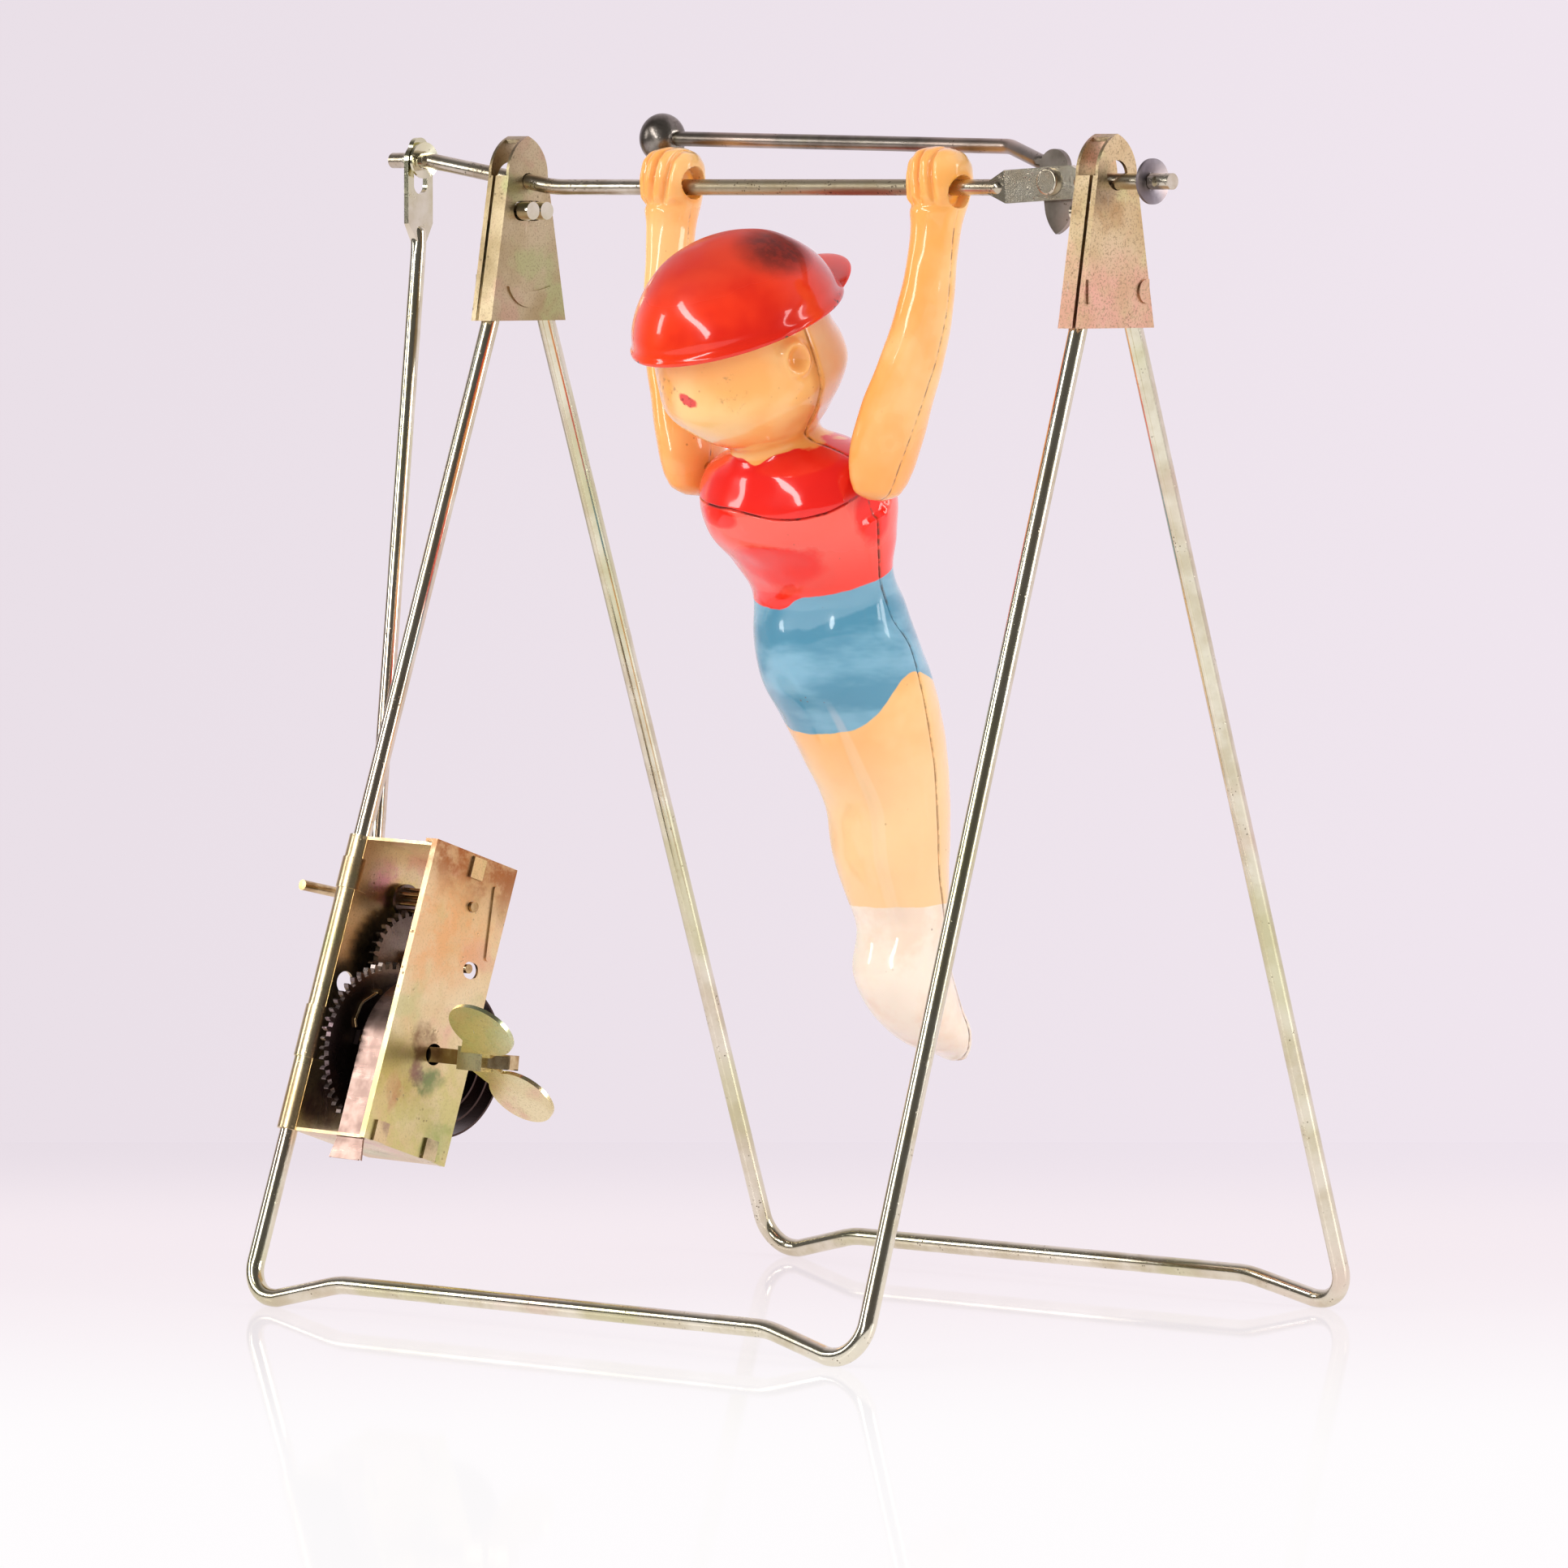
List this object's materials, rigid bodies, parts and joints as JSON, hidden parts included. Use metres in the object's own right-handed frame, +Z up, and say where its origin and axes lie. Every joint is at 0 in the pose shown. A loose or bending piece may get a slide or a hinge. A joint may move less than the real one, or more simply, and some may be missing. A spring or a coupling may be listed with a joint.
{
  "type": "bar gymnast toy",
  "caption": "Clockwork bar gymnast on a wire stand: motor, crank and rod turn a wire bar that a jointed doll tumbles round.",
  "frame": {"origin": "on the floor, under the middle of the whole toy", "axes": "+X along the bar towards its free end, +Y from the front legs to the rear legs, +Z up"},
  "size_m": [0.2028, 0.139, 0.223],
  "materials": {
    "plated_wire": "worn bright plating",
    "bar_wire": "dull brownish wire",
    "bracket_sheet": "yellowish plated sheet",
    "motor_sheet": "yellowish plated sheet",
    "gear_sheet": "yellowish stamped wheel",
    "arbor_steel": "drawn steel",
    "spring_steel": "tempered strip",
    "key_sheet": "yellowish plated sheet",
    "doll_shell": "glossy moulded shell with painted clothes",
    "doll_arm": "glossy moulded shell"
  },
  "bodies": {
    "stand": {"front_frame_wire": "plated_wire", "rear_frame_wire": "plated_wire", "left_bracket": "bracket_sheet", "right_bracket": "bracket_sheet", "motor_base_plate": "motor_sheet", "motor_front_plate": "motor_sheet", "mainspring": "spring_steel"},
    "bar": {"bar_wire": "bar_wire", "rod_washer": "plated_wire", "end_washer": "plated_wire", "weight_rivet": "bar_wire", "left_arm": "doll_arm", "right_arm": "doll_arm", "shoulder_pin": "arbor_steel"},
    "gymnast": {"body_front_half": "doll_shell", "body_back_half": "doll_shell"},
    "counterweight": {"weight_arm": "bar_wire", "weight_ball": "plated_wire"},
    "crank": {"crank_arbor": "arbor_steel", "lantern_disc_front": "gear_sheet", "lantern_disc_rear": "gear_sheet", "lantern_pins": "arbor_steel"},
    "rod": {"connecting_rod": "plated_wire"},
    "second": {"second_arbor": "arbor_steel", "second_wheel": "gear_sheet", "second_pinion": "arbor_steel"},
    "great": {"great_wheel": "gear_sheet", "click_rivet": "arbor_steel", "click_spring": "arbor_steel"},
    "click": {"click": "gear_sheet"},
    "winding": {"winding_arbor": "arbor_steel", "ratchet_wheel": "gear_sheet", "winding_key": "key_sheet"}
  },
  "joints": [
    {"name": "bar_spin", "type": "hinge", "parent": "stand", "child": "bar", "pos_m": [0.0091, 0, 0.2102], "axis": [1, 0, 0], "continuous": true},
    {"name": "shoulder_swing", "type": "hinge", "parent": "bar", "child": "gymnast", "pos_m": [0.0091, -0.005, 0.1567], "axis": [1, 0, 0], "range_deg": [-165, 125]},
    {"name": "weight_swing", "type": "hinge", "parent": "bar", "child": "counterweight", "pos_m": [0.0717, 0, 0.2102], "axis": [0, 1, 0], "range_deg": [0, 80]},
    {"name": "crank_turn", "type": "hinge", "parent": "stand", "child": "crank", "pos_m": [-0.06903, -0.03162, 0.07438], "axis": [0.9998, -0.0057, -0.0173], "continuous": true},
    {"name": "rod_swing", "type": "hinge", "parent": "crank", "child": "rod", "pos_m": [-0.07406, -0.03159, 0.07847], "axis": [0.9998, -0.0057, -0.0173], "continuous": true},
    {"name": "second_turn", "type": "hinge", "parent": "stand", "child": "second", "pos_m": [-0.06924, -0.03228, 0.0627], "axis": [0.9998, -0.0057, -0.0173], "continuous": true},
    {"name": "great_turn", "type": "hinge", "parent": "stand", "child": "great", "pos_m": [-0.06956, -0.04116, 0.04705], "axis": [0.9998, -0.0057, -0.0173], "continuous": true},
    {"name": "click_lift", "type": "hinge", "parent": "great", "child": "click", "pos_m": [-0.06036, -0.049, 0.04947], "axis": [0.9998, -0.0057, -0.0173], "range_deg": [0, 12]},
    {"name": "winding_turn", "type": "hinge", "parent": "great", "child": "winding", "pos_m": [-0.06956, -0.04116, 0.04705], "axis": [0.9998, -0.0057, -0.0173], "continuous": true}
  ],
  "couplings": [
    {"joint": "crank_turn", "follows": "bar_spin", "ratio": 1},
    {"joint": "rod_swing", "follows": "bar_spin", "ratio": -1},
    {"joint": "second_turn", "follows": "bar_spin", "ratio": -0.21875},
    {"joint": "great_turn", "follows": "bar_spin", "ratio": 0.028892}
  ]
}
